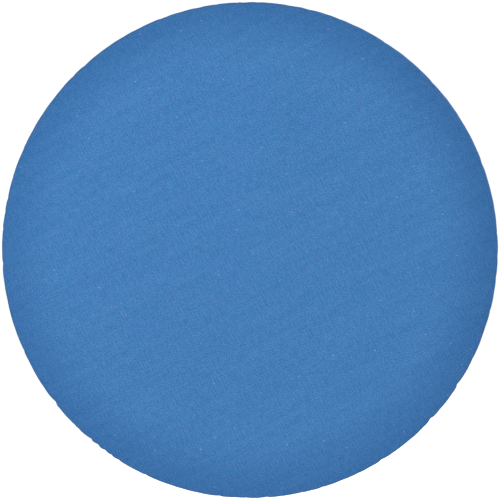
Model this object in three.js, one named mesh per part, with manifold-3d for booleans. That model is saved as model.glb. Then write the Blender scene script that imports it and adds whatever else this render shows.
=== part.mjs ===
// A round collapsible backdrop panel, upright, with its face towards -Y and its top towards +Z.
// Millimetres. A sprung steel band runs in a sleeve round the rim. A blue face cloth lies over
// wadding, is drawn round the rim and is hemmed on the back. The panel folds in half about the
// X axis, so each layer is an upper and a lower solid that meet at z = 0.
import * as THREE from 'three';
import { mergeVertices } from 'three/addons/utils/BufferGeometryUtils.js';
import Module from 'manifold-3d';

// Driving dimensions. Depths are measured from the front of the face, backwards.
const RADIUS = 535; // outside of the rim
const FACE_FLAT = 396; // radius of the flat middle of the face
const CROWN_DROP = 38.5; // how far the face falls back from there to the shoulder
const CROWN_POWER = 1.9;
const SHOULDER = 6; // the rim's rounding, in from the radius
const HEM_DEPTH = 56; // the back of the turned hem
const HEM_WIDTH = 44; // of the turned hem, in from the radius
const CLOTH = 1.2;
const GAP = 0.3; // between neighbouring pieces
const STEPS = 72; // flats round the rim, with one centred on the top and one on the bottom

const WADDING_RADIUS = 521;
const WADDING_BACK = 52.4;
const LINING = 0.6;
const BACK_CLOTH = 0.9;

const BAND_RADIUS = 527.5; // middle of the steel band
const BAND_DEPTH = 48.3;
const BAND_WIDTH = 5;
const BAND_THICK = 1.2;
const FERRULE_LENGTH = 38;
const FERRULE_WALL = 0.6;
const COVER_LENGTH = 43;
const COVER_WALL = 0.5;
const COVER_CHAMFER = 1.8;
const RIVET_OUT = 9; // from the joint in the band
const RIVET_RADIUS = 1;
const RIVET_HEAD = 0.7;

const TAPE_INNER = 476;
const TAPE_OUTER = 506;
const TAPE = 1;

const PATCH = { low: 506.8, high: 527, thick: 1 };
const TAB = { width: 25, thick: 2.4, hinge: 517, eye: 492, eyeOuter: 3.7, eyeInner: 2.5, top: 526.7 };
const RING = { inside: 26.4, wire: 1.9, leg: 4 };
const STRAP = { width: 20, thick: 1.5, hinge: 515, end: 335, top: 526.5, turn: 35 };
const STUD = { radius: 6, flange: 1.2, shank: 1.8, hole: 2.2, knob: 2.6, knobTall: 2, at: 455 };
const SOCKET = { tall: 2, recess: 3, recessDeep: 1.4, at: 347 };
const LABEL = { width: 56, height: 30, middle: -425, thick: 0.5 };

const DEPTH = HEM_DEPTH + GAP + PATCH.thick + GAP + 2 * TAB.eyeOuter; // front of face to back of eye

const wasm = await Module();
wasm.setup();

// Materials, one function call for each sub-part.
const finish = (color, roughness, metalness = 0) => () =>
  new THREE.MeshStandardMaterial({ color, roughness, metalness });
const blueCloth = finish(0x477eb9, 0.9);
const whiteWadding = finish(0xe9e8e2, 0.95);
const blackLining = finish(0x17181a, 0.9);
const greyBackCloth = finish(0x2b2d31, 0.8);
const springSteel = finish(0x8d9299, 0.35, 1);
const platedSteel = finish(0xc3c6ca, 0.3, 1);
const shrinkPlastic = finish(0x1b1b1d, 0.6);
const blackTape = finish(0x1d1e21, 0.85);
const blackWebbing = finish(0x202124, 0.8);
const paleLabel = finish(0xd9d9d4, 0.85);

// Solids.

// The closed mesh of a geometry as a manifold solid.
function solid(geometry, matrix = new THREE.Matrix4()) {
  const bare = geometry.clone().applyMatrix4(matrix);
  bare.deleteAttribute('normal');
  bare.deleteAttribute('uv');
  const merged = mergeVertices(bare, 1e-3);
  const corner = Array.from(merged.index.array);
  const kept = [];
  for (let i = 0; i < corner.length; i += 3) {
    const [a, b, c] = corner.slice(i, i + 3);
    if (a !== b && b !== c && c !== a) kept.push(a, b, c);
  }
  return new wasm.Manifold(new wasm.Mesh({
    numProp: 3,
    vertProperties: new Float32Array(merged.attributes.position.array),
    triVerts: new Uint32Array(kept),
  }));
}

function geometryOf(manifold) {
  const { vertProperties, triVerts } = manifold.getMesh();
  const geometry = new THREE.BufferGeometry();
  geometry.setAttribute('position', new THREE.BufferAttribute(new Float32Array(vertProperties), 3));
  geometry.setIndex(new THREE.BufferAttribute(new Uint32Array(triVerts), 1));
  geometry.computeVertexNormals();
  return geometry;
}

function box(low, high) {
  const size = high.map((value, i) => value - low[i]);
  const middle = high.map((value, i) => (value + low[i]) / 2);
  return new THREE.BoxGeometry(...size).translate(...middle);
}

// A full turn of a closed outline about the panel's axis. Outline points are [radius, depth], listed
// so that they run outwards along the front and inwards along the back.
function turned(outline) {
  const points = [...outline, outline[0]].map(([r, y]) => new THREE.Vector2(r, y));
  return solid(new THREE.LatheGeometry(points, STEPS, Math.PI / STEPS));
}

const upperSpace = solid(box([-RADIUS * 2, -RADIUS, GAP / 2], [RADIUS * 2, RADIUS, RADIUS * 2]));
const lowerSpace = solid(box([-RADIUS * 2, -RADIUS, -RADIUS * 2], [RADIUS * 2, RADIUS, -GAP / 2]));

const model = new THREE.Group();
const panel = new THREE.Group(); // holds everything, in depths from the front of the face
panel.position.y = -DEPTH / 2;
model.add(panel);

function place(name, geometry, material, parent = panel) {
  const mesh = new THREE.Mesh(geometry, material());
  mesh.name = name;
  parent.add(mesh);
  return mesh;
}

// A turned piece, split at the fold.
function placeHalves(name, whole, material) {
  place(`${name}_upper`, geometryOf(whole.intersect(upperSpace)), material);
  place(`${name}_lower`, geometryOf(whole.intersect(lowerSpace)), material);
}

// Face cloth: flat in the middle, crowned to the rim, drawn round it and turned in on the back.
const shoulderRadius = RADIUS - SHOULDER;

function faceDepth(r) {
  const out = Math.max(0, (r - FACE_FLAT) / (shoulderRadius - FACE_FLAT));
  return CROWN_DROP * out ** CROWN_POWER;
}

function crown(lastRadius, steps) {
  const points = [[0, 0]];
  for (let i = 0; i <= steps; i++) {
    const r = FACE_FLAT + ((lastRadius - FACE_FLAT) * i) / steps;
    points.push([r, faceDepth(r)]);
  }
  return points;
}

const rimTurn = [
  [RADIUS - 2, 41.5],
  [RADIUS, 46],
  [RADIUS, 50],
  [RADIUS - 1.8, 54.3],
  [shoulderRadius, HEM_DEPTH],
  [RADIUS - HEM_WIDTH, HEM_DEPTH],
];

// The outline moved inwards by the cloth's thickness.
function inside(points, distance) {
  const towards = (a, b) => new THREE.Vector2(b[0] - a[0], b[1] - a[1]).normalize();
  return points.map((point, i) => {
    const before = i > 0 ? towards(points[i - 1], point) : towards(point, points[i + 1]);
    const after = i < points.length - 1 ? towards(point, points[i + 1]) : before;
    const along = before.clone().add(after).normalize();
    const reach = distance / Math.max(0.5, along.dot(before));
    return [Math.max(0, point[0] - along.y * reach), point[1] + along.x * reach];
  });
}

const faceOutline = [...crown(shoulderRadius, 7), ...rimTurn];
placeHalves('face_cloth', turned([...faceOutline, ...inside(faceOutline, CLOTH).reverse()]), blueCloth);

// Wadding, blackout lining and back cloth, one behind the other.
const waddingFront = inside(crown(WADDING_RADIUS, 7), CLOTH + 2 * GAP);
waddingFront.push([WADDING_RADIUS, waddingFront.at(-1)[1]]);
const waddingOutline = [...waddingFront, [WADDING_RADIUS, WADDING_BACK], [0, WADDING_BACK]];
placeHalves('wadding', turned(waddingOutline), whiteWadding);

function disc(radius, front, thick) {
  return turned([[0, front], [radius, front], [radius, front + thick], [0, front + thick]]);
}

const liningFront = WADDING_BACK + GAP;
placeHalves('blackout_lining', disc(WADDING_RADIUS, liningFront, LINING), blackLining);
const backClothFront = liningFront + LINING + GAP;
placeHalves('back_cloth', disc(WADDING_RADIUS, backClothFront, BACK_CLOTH), greyBackCloth);
const backClothBack = backClothFront + BACK_CLOTH;

// Hoop sleeve: a strip folded round the band, with a slit where its two edges meet.
function hoopSleeve() {
  const [low, high, front, back, wall] = [521.5, 532.9, 43, 53.7, 0.8];
  const slit = { front: 48.1, back: 48.5 };
  const outer = [
    [low, slit.front], [low, front], [high - 3.4, front], [high, front + 3.4],
    [high, back - 2.7], [high - 3.7, back], [low, back], [low, slit.back],
  ];
  const inner = [
    [low + wall, slit.back], [low + wall, back - wall], [high - 4, back - wall],
    [high - wall, back - 3.1], [high - wall, front + 3.7], [high - 3.7, front + wall],
    [low + wall, front + wall], [low + wall, slit.front],
  ];
  return turned([...outer, ...inner]);
}
placeHalves('hoop_sleeve', hoopSleeve(), blackTape);

// Spring band: one strip of flat steel. Its ends meet at the bottom, in the ferrule.
const bandFront = BAND_DEPTH - BAND_WIDTH / 2;
const bandInner = BAND_RADIUS - BAND_THICK / 2;
const band = turned([
  [bandInner, bandFront],
  [bandInner + BAND_THICK, bandFront],
  [bandInner + BAND_THICK, bandFront + BAND_WIDTH],
  [bandInner, bandFront + BAND_WIDTH],
]);
const bottomFlat = -BAND_RADIUS * Math.cos(Math.PI / STEPS); // height of the band's lowest flat

const standUp = new THREE.Matrix4().makeRotationX(Math.PI / 2);

function rivetHole(x) {
  const hole = new THREE.CylinderGeometry(RIVET_RADIUS + GAP, RIVET_RADIUS + GAP, 12, 16);
  const at = new THREE.Matrix4().makeTranslation(x, BAND_DEPTH, bottomFlat);
  return solid(hole, at.multiply(standUp));
}

const rivetPlaces = { left: -RIVET_OUT, right: RIVET_OUT };
let lowerBand = band.intersect(lowerSpace);
for (const x of Object.values(rivetPlaces)) lowerBand = lowerBand.subtract(rivetHole(x));
const leftSpace = solid(box([-RADIUS * 2, -RADIUS, -RADIUS * 2], [-GAP / 2, RADIUS, 0]));
const rightSpace = solid(box([GAP / 2, -RADIUS, -RADIUS * 2], [RADIUS * 2, RADIUS, 0]));
place('spring_band_upper', geometryOf(band.intersect(upperSpace)), springSteel);
place('spring_band_lower_left', geometryOf(lowerBand.intersect(leftSpace)), springSteel);
place('spring_band_lower_right', geometryOf(lowerBand.intersect(rightSpace)), springSteel);

// A short tube along X at the joint in the band: half sizes across the depth and the height.
function jointTube(halfDepth, halfHeight, wall, chamfer, length) {
  const ring = (d, h, c) => [
    [-d + c, -h], [d - c, -h], [d, -h + c], [d, h - c], [d - c, h], [-d + c, h], [-d, h - c], [-d, -h + c],
  ].map(([y, z]) => new THREE.Vector2(-z, y));
  const shape = new THREE.Shape(ring(halfDepth + wall, halfHeight + wall, chamfer));
  shape.holes.push(new THREE.Path(ring(halfDepth, halfHeight, chamfer - wall / 2)));
  const tube = new THREE.ExtrudeGeometry(shape, { depth: length, bevelEnabled: false });
  return tube.translate(0, 0, -length / 2).rotateY(Math.PI / 2).translate(0, BAND_DEPTH, bottomFlat);
}

const ferruleInside = { depth: BAND_WIDTH / 2 + GAP, height: BAND_THICK / 2 + GAP };
let ferrule = solid(
  jointTube(ferruleInside.depth, ferruleInside.height, FERRULE_WALL, FERRULE_WALL, FERRULE_LENGTH),
);
for (const x of Object.values(rivetPlaces)) ferrule = ferrule.subtract(rivetHole(x));
place('hoop_ferrule', geometryOf(ferrule), platedSteel);

const headFrom = ferruleInside.height + FERRULE_WALL + GAP;
const headTo = headFrom + RIVET_HEAD;
for (const [side, x] of Object.entries(rivetPlaces)) {
  const outline = [
    [0, -headTo], [1.3, -headTo], [2, -headFrom - 0.1], [2, -headFrom], [RIVET_RADIUS, -headFrom],
    [RIVET_RADIUS, headFrom], [2, headFrom], [2, headFrom + 0.1], [1.3, headTo], [0, headTo],
  ].map(([r, y]) => new THREE.Vector2(r, y));
  const rivet = new THREE.LatheGeometry(outline, 16).rotateX(Math.PI / 2);
  place(`ferrule_rivet_${side}`, rivet.translate(x, BAND_DEPTH, bottomFlat), platedSteel);
}

const coverInside = { depth: ferruleInside.depth + FERRULE_WALL + GAP, height: headTo + GAP };
place(
  'ferrule_cover',
  jointTube(coverInside.depth, coverInside.height, COVER_WALL, COVER_CHAMFER, COVER_LENGTH),
  shrinkPlastic,
);

// Hem tape: a flat ring over the raw edge of the turned hem.
const onHem = HEM_DEPTH + GAP;
placeHalves('hem_tape', turned([
  [TAPE_INNER, onHem], [TAPE_OUTER, onHem], [TAPE_OUTER, onHem + TAPE], [TAPE_INNER, onHem + TAPE],
]), blackTape);

// Hanging tab at the top of the back: a patch, the webbing's sewn-down end, and its free loop.
const onPatch = onHem + PATCH.thick + GAP;

function patch(name, width, parent) {
  const half = width / 2;
  place(name, box([-half, onHem, PATCH.low], [half, onHem + PATCH.thick, PATCH.high]), blackTape, parent);
}

function sewnEnd(name, { width, thick, hinge, top }, material, parent) {
  const half = width / 2;
  place(name, box([-half, onPatch, hinge + GAP], [half, onPatch + thick, top]), material, parent);
}

function hangingTab() {
  const eyeDepth = onPatch + TAB.eyeOuter;
  const outline = new THREE.Shape(); // x is the depth, y is the height
  outline.moveTo(onPatch, TAB.hinge - GAP);
  outline.lineTo(onPatch, TAB.eye);
  outline.absarc(eyeDepth, TAB.eye, TAB.eyeOuter, Math.PI, Math.PI * 2.7, false);
  outline.lineTo(onPatch + TAB.thick, TAB.eye + 6);
  outline.lineTo(onPatch + TAB.thick, TAB.hinge - GAP);
  const eye = new THREE.Path();
  eye.absarc(eyeDepth, TAB.eye, TAB.eyeInner, 0, Math.PI * 2, true);
  outline.holes.push(eye);
  const loop = new THREE.ExtrudeGeometry(outline, { depth: TAB.width, bevelEnabled: false, curveSegments: 6 });
  // The outline's plane becomes Y-Z, and the webbing's width runs along X.
  const turn = new THREE.Matrix4().makeBasis(
    new THREE.Vector3(0, 1, 0), new THREE.Vector3(0, 0, 1), new THREE.Vector3(1, 0, 0),
  );
  return loop.translate(0, 0, -TAB.width / 2).applyMatrix4(turn);
}

// D-ring: a straight bar through the eye, two short legs and a half-round bow.
function dRing() {
  const middle = RING.inside / 2 + RING.wire;
  const eyeDepth = onPatch + TAB.eyeOuter;
  const at = (x, z) => new THREE.Matrix4().makeTranslation(x, eyeDepth, TAB.eye + z);
  const bar = new THREE.CylinderGeometry(RING.wire, RING.wire, middle * 2, 10).rotateZ(Math.PI / 2);
  const leg = new THREE.CylinderGeometry(RING.wire, RING.wire, RING.leg, 10).rotateX(Math.PI / 2);
  const knee = new THREE.SphereGeometry(RING.wire, 10, 8);
  const bow = new THREE.TorusGeometry(middle, RING.wire, 10, 32).rotateX(Math.PI / 2);
  const below = solid(box([-40, -40, -40], [40, 40, 0]), at(0, -RING.leg));
  let ring = solid(bar, at(0, 0)).add(solid(bow, at(0, -RING.leg)).intersect(below));
  for (const x of [-middle, middle]) {
    ring = ring.add(solid(leg, at(x, -RING.leg / 2))).add(solid(knee, at(x, 0)));
  }
  return geometryOf(ring);
}

patch('tab_patch', 40, panel);
sewnEnd('tab_sewn_end', TAB, blackWebbing, panel);
place('hanging_tab', hangingTab(), blackWebbing);
place('d_ring', dRing(), platedSteel);

// Retaining strap: built at the top like the tab, then turned round the rim to its place.
const strapPlace = new THREE.Group();
strapPlace.rotation.y = THREE.MathUtils.degToRad(STRAP.turn);
panel.add(strapPlace);

// A turned fitting across the strap. Outline points are [radius, depth].
function fitting(outline, height) {
  const points = outline.map(([r, y]) => new THREE.Vector2(r, y));
  return new THREE.LatheGeometry(points, 20).translate(0, 0, height);
}

const strapBack = onPatch + STRAP.thick;
const flangeFront = [
  [0, onPatch - GAP - STUD.flange],
  [STUD.radius - 0.6, onPatch - GAP - STUD.flange],
  [STUD.radius, onPatch - GAP - STUD.flange / 2],
  [STUD.radius, onPatch - GAP],
  [STUD.shank, onPatch - GAP],
  [STUD.shank, strapBack + GAP],
  [STUD.radius, strapBack + GAP],
];

function pressStud() {
  const top = strapBack + GAP + STUD.flange;
  return fitting([
    ...flangeFront, [STUD.radius, top - 0.4], [STUD.radius - 1, top], [STUD.knob - 0.4, top],
    [STUD.knob - 0.4, top + STUD.knobTall / 2], [STUD.knob, top + STUD.knobTall * 0.75],
    [STUD.knob - 0.8, top + STUD.knobTall], [0, top + STUD.knobTall],
  ], STUD.at);
}

function pressSocket() {
  const top = strapBack + GAP + SOCKET.tall;
  return fitting([
    ...flangeFront, [STUD.radius, top - 0.6], [STUD.radius - 0.8, top], [SOCKET.recess, top],
    [SOCKET.recess, top - SOCKET.recessDeep], [0, top - SOCKET.recessDeep],
  ], SOCKET.at);
}

function strap() {
  const half = STRAP.width / 2;
  let cloth = solid(box([-half, onPatch, STRAP.end], [half, strapBack, STRAP.hinge - GAP]));
  for (const height of [STUD.at, SOCKET.at]) {
    const hole = new THREE.CylinderGeometry(STUD.hole, STUD.hole, 10, 16).translate(0, onPatch, height);
    cloth = cloth.subtract(solid(hole));
  }
  return geometryOf(cloth);
}

patch('strap_patch', 32, strapPlace);
sewnEnd('strap_sewn_end', STRAP, blackWebbing, strapPlace);
place('retaining_strap', strap(), blackWebbing, strapPlace);
place('strap_stud', pressStud(), platedSteel, strapPlace);
place('strap_socket', pressSocket(), platedSteel, strapPlace);

// Care label, blank, sewn flat to the back cloth near the bottom.
const labelHalf = LABEL.width / 2;
const labelFront = backClothBack + GAP;
place('care_label', box(
  [-labelHalf, labelFront, LABEL.middle - LABEL.height / 2],
  [labelHalf, labelFront + LABEL.thick, LABEL.middle + LABEL.height / 2],
), paleLabel);

export default model;
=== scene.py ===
"""A round collapsible backdrop panel: a blue padded face, a hemmed dark back, a hanging ring and a strap.

Metres, in the CAD frame: the face looks towards -Y and the top is +Z. The layers are single pieces here.
Each one stands for the CAD's upper and lower halves.
"""

import math

import bmesh
import bpy
import numpy as np
from mathutils import Matrix, Vector


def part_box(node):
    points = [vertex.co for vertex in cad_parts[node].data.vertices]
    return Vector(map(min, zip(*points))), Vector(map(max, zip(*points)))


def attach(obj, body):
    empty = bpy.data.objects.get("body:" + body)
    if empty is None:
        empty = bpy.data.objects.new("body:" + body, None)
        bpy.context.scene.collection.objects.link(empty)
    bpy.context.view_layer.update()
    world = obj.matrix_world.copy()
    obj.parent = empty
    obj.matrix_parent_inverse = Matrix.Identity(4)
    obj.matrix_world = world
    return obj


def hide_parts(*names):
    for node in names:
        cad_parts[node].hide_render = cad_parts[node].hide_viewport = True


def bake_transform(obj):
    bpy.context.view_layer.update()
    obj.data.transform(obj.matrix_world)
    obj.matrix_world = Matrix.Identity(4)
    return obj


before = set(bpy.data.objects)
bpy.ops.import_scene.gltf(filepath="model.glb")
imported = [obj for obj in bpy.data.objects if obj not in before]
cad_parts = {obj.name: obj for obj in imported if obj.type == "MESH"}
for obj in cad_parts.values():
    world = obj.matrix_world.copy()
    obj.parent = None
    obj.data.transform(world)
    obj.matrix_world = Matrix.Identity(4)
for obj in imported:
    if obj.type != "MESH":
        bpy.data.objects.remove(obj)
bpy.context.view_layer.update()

# ---------------------------------------------------------------- places, from the frame
FACE_LOW, FACE_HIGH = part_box("face_cloth_upper")
RADIUS = FACE_HIGH.x
FRONT = FACE_LOW.y
HEM_BACK = FACE_HIGH.y
TAPE_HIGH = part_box("hem_tape_upper")[1]
BACK_LOW, BACK_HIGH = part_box("back_cloth_upper")
LINING_LOW, LINING_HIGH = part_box("blackout_lining_upper")
WADDING_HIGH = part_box("wadding_upper")[1]
SLEEVE_LOW, SLEEVE_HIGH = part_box("hoop_sleeve_upper")
BAND_LOW, BAND_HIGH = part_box("spring_band_upper")
PATCH_LOW, PATCH_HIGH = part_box("tab_patch")
TAB_LOW, TAB_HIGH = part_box("hanging_tab")
SEWN_LOW, SEWN_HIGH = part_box("tab_sewn_end")
RING_LOW, RING_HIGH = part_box("d_ring")
LABEL_LOW, LABEL_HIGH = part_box("care_label")

# ---------------------------------------------------------------- driving sizes
FACE_FLAT = 0.74 * RADIUS  # radius of the flat middle of the face
CROWN_SPAN = RADIUS - 0.006 - FACE_FLAT
CROWN_DROP = 0.0385  # the face falls back this much over the crown's span
CROWN_POWER = 1.9  # and most of it near the rim
SHOULDER = 0.0075  # the rim's rounding starts this far inside the radius
RIM_WIDEST = FRONT + 0.0485  # depth at which the rim is widest
RIM_TURN = 0.0085  # the rounding behind ends this far inside the radius
HEM_WIDTH = 0.044
DEEPEST = 0.0034  # no pucker brings the rim further in than this
TAPE_WIDTH = 0.030
TAPE_OUTER = TAPE_HIGH.x
TAPE_INNER = TAPE_OUTER - TAPE_WIDTH
ROUND = 1440  # steps round the face and the tape
ROUND_BACK = 1080
ROUND_INSIDE = 360  # steps round the hidden layers
STRAP_DEGREES = 35  # the strap's place round the rim, from the top
STRAP_TURN = math.radians(STRAP_DEGREES)
STRAP_PATCH_WIDE = 0.032
SEED = 7

# Puckers where the cloth is drawn round the rim: degrees from the top towards +X, and depth.
PUCKERS = [
    (86, 0.0008), (104, 0.0010), (123, 0.0027), (133, 0.0025), (148, 0.0018), (163, 0.0009),
    (176, 0.0014), (181, 0.0010), (187, 0.0013), (205, 0.0015), (212, 0.0014), (214, 0.0018),
    (216, 0.0024), (218, 0.0022), (220, 0.0027), (232, 0.0025), (246, 0.0011), (267, 0.0013),
    (275, 0.0010), (279, 0.0012), (282, 0.0012), (318, 0.0008), (339, 0.0010), (357, 0.0009),
]
SLIGHT_PUCKERS = 52  # barely visible ones, anywhere round the rim
SLIGHT_DEPTHS = (0.0002, 0.0009)
PUCKER_STEEP = 0.0036  # how far a pucker spreads on its steep side
PUCKER_SLOW = 0.0085  # and on the other
PLEATS = (67, 139)  # coarse and fine gathers round the hem
PLEAT_HEIGHT = 0.0024


# ---------------------------------------------------------------- meshes
def new_object(name, verts, faces, place):
    """A smooth mesh object. place holds each point's position on the flat cloth, for the weave."""
    mesh = bpy.data.meshes.new(name)
    mesh.from_pydata([tuple(v) for v in verts], [], [tuple(f) for f in faces])
    mesh.update()
    mesh.shade_smooth()
    attribute = mesh.attributes.new("cloth_place", "FLOAT_VECTOR", "POINT")
    attribute.data.foreach_set("vector", np.asarray(place, np.float32).ravel())
    obj = bpy.data.objects.new(name, mesh)
    bpy.context.scene.collection.objects.link(obj)
    return obj


def grid_faces(rows, columns, closed_rows=False, closed_columns=True):
    """Quads of a grid whose points run along each row in turn."""
    i = np.arange(rows if closed_rows else rows - 1)[:, None]
    j = np.arange(columns if closed_columns else columns - 1)[None, :]
    a = i * columns + j
    b = i * columns + (j + 1) % columns
    below = (i + 1) % rows
    c = below * columns + (j + 1) % columns
    d = below * columns + j
    return np.stack([a, b, c, d], axis=-1).reshape(-1, 4)


def arc_lengths(points):
    steps = np.linalg.norm(np.diff(points, axis=0), axis=1)
    return np.concatenate([[0.0], np.cumsum(steps)])


def turned(name, profile, steps, shape=None, closed=False):
    """A profile of (radius, depth) points turned about the panel's axis.

    shape(radius, depth, angle, along) may move the points. A profile that starts or ends on the axis
    has one point there.
    """
    profile = np.array(profile, float)
    along = arc_lengths(profile)
    on_axis = profile[0, 0] < 1e-9
    ends_on_axis = profile[-1, 0] < 1e-9
    kept = slice(1 if on_axis else 0, -1 if ends_on_axis else None)
    rows, row_along = profile[kept], along[kept]
    angle = np.linspace(0, 2 * math.pi, steps, endpoint=False)[None, :]
    radius = np.repeat(rows[:, :1], steps, axis=1)
    depth = np.repeat(rows[:, 1:], steps, axis=1)
    reach = np.repeat(row_along[:, None], steps, axis=1)
    angles = np.repeat(angle, len(rows), axis=0)
    if shape is not None:
        radius, depth = shape(radius, depth, angles, reach)
    verts = np.stack([radius * np.sin(angles), depth, radius * np.cos(angles)], axis=-1).reshape(-1, 3)
    flat = reach + (0 if on_axis else profile[0, 0])
    place = np.stack([flat * np.sin(angles), flat * np.cos(angles), 0 * flat], axis=-1).reshape(-1, 3)
    faces = grid_faces(len(rows), steps, closed_rows=closed).tolist()
    if on_axis:
        verts = np.vstack([verts, [0, profile[0, 1], 0]])
        place = np.vstack([place, [0, 0, 0]])
        hub = len(verts) - 1
        faces += [(hub, (j + 1) % steps, j) for j in range(steps)]
    if ends_on_axis:
        verts = np.vstack([verts, [0, profile[-1, 1], 0]])
        place = np.vstack([place, [0, 0, 0]])
        hub = len(verts) - 1
        last = (len(rows) - 1) * steps
        faces += [(hub, last + j, last + (j + 1) % steps) for j in range(steps)]
    return new_object(name, verts, faces, place)


def turn_from(angle, middle):
    """How far round angle is from middle, between minus and plus half a turn."""
    return (angle - middle + math.pi) % (2 * math.pi) - math.pi


def waves(angle, lobes, rng, amount):
    """Smooth seeded unevenness round the rim, made of a few sines."""
    total = np.zeros_like(angle)
    for count in lobes:
        total += rng.uniform(0.4, 1.0) * np.sin(count * angle + rng.uniform(0, 2 * math.pi))
    return amount * total / len(lobes)


def smooth_step(value, low, high):
    t = np.clip((value - low) / (high - low), 0, 1)
    return t * t * (3 - 2 * t)


def bezier(a, b, c, d, count):
    """count points of a cubic curve, after its first one."""
    t = np.linspace(0, 1, count + 1)[1:, None]
    a, b, c, d = (np.array(p, float) for p in (a, b, c, d))
    return (1 - t) ** 3 * a + 3 * (1 - t) ** 2 * t * b + 3 * (1 - t) * t**2 * c + t**3 * d


def swept(name, section, path, across, closed=False):
    """A closed section of (side, out) points swept along a path. across is the section's side direction."""
    path = [Vector(p) for p in path]
    across = Vector(across).normalized()
    verts, place = [], []
    lengths = arc_lengths(np.array([tuple(p) for p in path]))
    count = len(path)
    for i, point in enumerate(path):
        before = path[(i - 1) % count] if closed or i else path[0]
        after = path[(i + 1) % count] if closed or i < count - 1 else path[-1]
        tangent = (after - before).normalized()
        out = across.cross(tangent).normalized()
        side = tangent.cross(out).normalized()
        for u, v in section:
            verts.append(point + side * u + out * v)
            place.append((u, lengths[i], v))
    faces = grid_faces(count, len(section), closed_rows=closed).tolist()
    if not closed:
        faces.append(list(range(len(section)))[::-1])
        faces.append([(count - 1) * len(section) + k for k in range(len(section))])
    obj = new_object(name, verts, faces, place)
    return facing_out(obj)


def facing_out(obj):
    """Turns a closed mesh's faces outwards."""
    work = bmesh.new()
    work.from_mesh(obj.data)
    bmesh.ops.recalc_face_normals(work, faces=work.faces)
    work.to_mesh(obj.data)
    work.free()
    return obj


def modifier(obj, kind, **settings):
    added = obj.modifiers.new(kind.title(), kind)
    for key, value in settings.items():
        setattr(added, key, value)
    return added


def rounded_strip(width, thick, corner, steps):
    """The section of webbing: a flat strip with rounded edges, as (side, out) points."""
    points = []
    for sx, sy, start in ((1, 1, 0), (-1, 1, 90), (-1, -1, 180), (1, -1, 270)):
        for k in range(steps + 1):
            turn = math.radians(start + 90 * k / steps)
            points.append((
                sx * (width / 2 - corner) + corner * math.cos(turn),
                sy * (thick / 2 - corner) + corner * math.sin(turn),
            ))
    return points


def circle(radius, count):
    turns = (2 * math.pi * k / count for k in range(count))
    return [(radius * math.cos(t), radius * math.sin(t)) for t in turns]


# ---------------------------------------------------------------- material helpers
class Shader:
    """A material's node tree, with short calls for the nodes that the recipes below use."""

    def __init__(self, name, roughness=0.8, own_place=False, **sockets):
        self.own_place = own_place
        self.material = bpy.data.materials.new(name)
        self.material.use_nodes = True
        self.tree = self.material.node_tree
        self.surface = self.tree.nodes["Principled BSDF"]
        self.surface.inputs["Roughness"].default_value = roughness
        for socket, value in sockets.items():
            self.surface.inputs[socket.replace("_", " ")].default_value = value

    def node(self, kind, inputs=None, **settings):
        made = self.tree.nodes.new("ShaderNode" + kind)
        for key, value in settings.items():
            setattr(made, key, value)
        for key, value in (inputs or {}).items():
            self.feed(made.inputs[key], value)
        return made

    def feed(self, socket, value):
        if isinstance(value, bpy.types.NodeSocket):
            self.tree.links.new(value, socket)
        else:
            socket.default_value = value

    def math(self, operation, *values):
        return self.node("Math", dict(enumerate(values)), operation=operation).outputs[0]

    def place(self):
        """Where a point is on its flat cloth, or on the object for a carried-over CAD piece."""
        if self.own_place:
            return self.node("TexCoord").outputs["Object"]
        return self.node("Attribute", attribute_name="cloth_place").outputs["Vector"]

    def turned_place(self, degrees, longer=(1, 1, 1)):
        """The place with X running at this slope. A pattern comes out this many times longer each way."""
        mapping = self.node("Mapping", {
            "Vector": self.place(),
            "Rotation": (0, 0, math.radians(degrees)),
            "Scale": longer,
        }, vector_type="TEXTURE")
        return mapping.outputs["Vector"]

    def ribs(self, vector, period, direction="X", distortion=0.0, detail=2.0):
        wave = self.node("TexWave", {
            "Vector": vector,
            "Scale": 2 * math.pi / 20 / period,
            "Distortion": distortion,
            "Detail": detail,
            "Detail Scale": 1.5,
        }, wave_type="BANDS", bands_direction=direction, wave_profile="SIN")
        return wave.outputs["Fac"]

    def noise(self, vector, size, detail=2.0, roughness=0.5):
        texture = self.node("TexNoise", {
            "Vector": vector,
            "Scale": 1 / size,
            "Detail": detail,
            "Roughness": roughness,
        })
        return texture.outputs["Fac"]

    def summed(self, *parts):
        """A half, plus each value's distance from a half times its amount."""
        total = 0.5 - sum(amount for _, amount in parts) / 2
        for value, amount in parts:
            total = self.math("MULTIPLY_ADD", value, amount, total)
        return total

    def around_one(self, value, amount):
        """A factor of 1, give or take amount, from a value between 0 and 1."""
        return self.math("MULTIPLY_ADD", value, 2 * amount, 1 - amount)

    def product(self, *factors):
        total = factors[0]
        for factor in factors[1:]:
            total = self.math("MULTIPLY", total, factor)
        return total

    def tinted(self, colour, factor):
        """The colour times a grey factor."""
        scaled = self.node("VectorMath", {0: colour, "Scale": factor}, operation="SCALE")
        return scaled.outputs["Vector"]

    def mixed(self, factor, a, b, blend="MIX"):
        mix = self.node("Mix", data_type="RGBA", blend_type=blend)
        self.feed(mix.inputs["Factor"], factor)
        self.feed(mix.inputs["A"], a)
        self.feed(mix.inputs["B"], b)
        return mix.outputs["Result"]

    def multiplied(self, a, b):
        return self.mixed(1.0, a, b, "MULTIPLY")

    def ramp(self, value, low, high, start=0.0, end=1.0):
        mapped = self.node("MapRange", {
            "Value": value, "From Min": low, "From Max": high, "To Min": start, "To Max": end,
        }, interpolation_type="SMOOTHSTEP")
        return mapped.outputs["Result"]

    def colour(self, socket):
        self.feed(self.surface.inputs["Base Color"], socket)

    def rough(self, socket):
        self.feed(self.surface.inputs["Roughness"], socket)

    def bump(self, height, distance, strength=1.0):
        bumped = self.node("Bump", {"Height": height, "Distance": distance, "Strength": strength})
        self.feed(self.surface.inputs["Normal"], bumped.outputs["Normal"])


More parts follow.
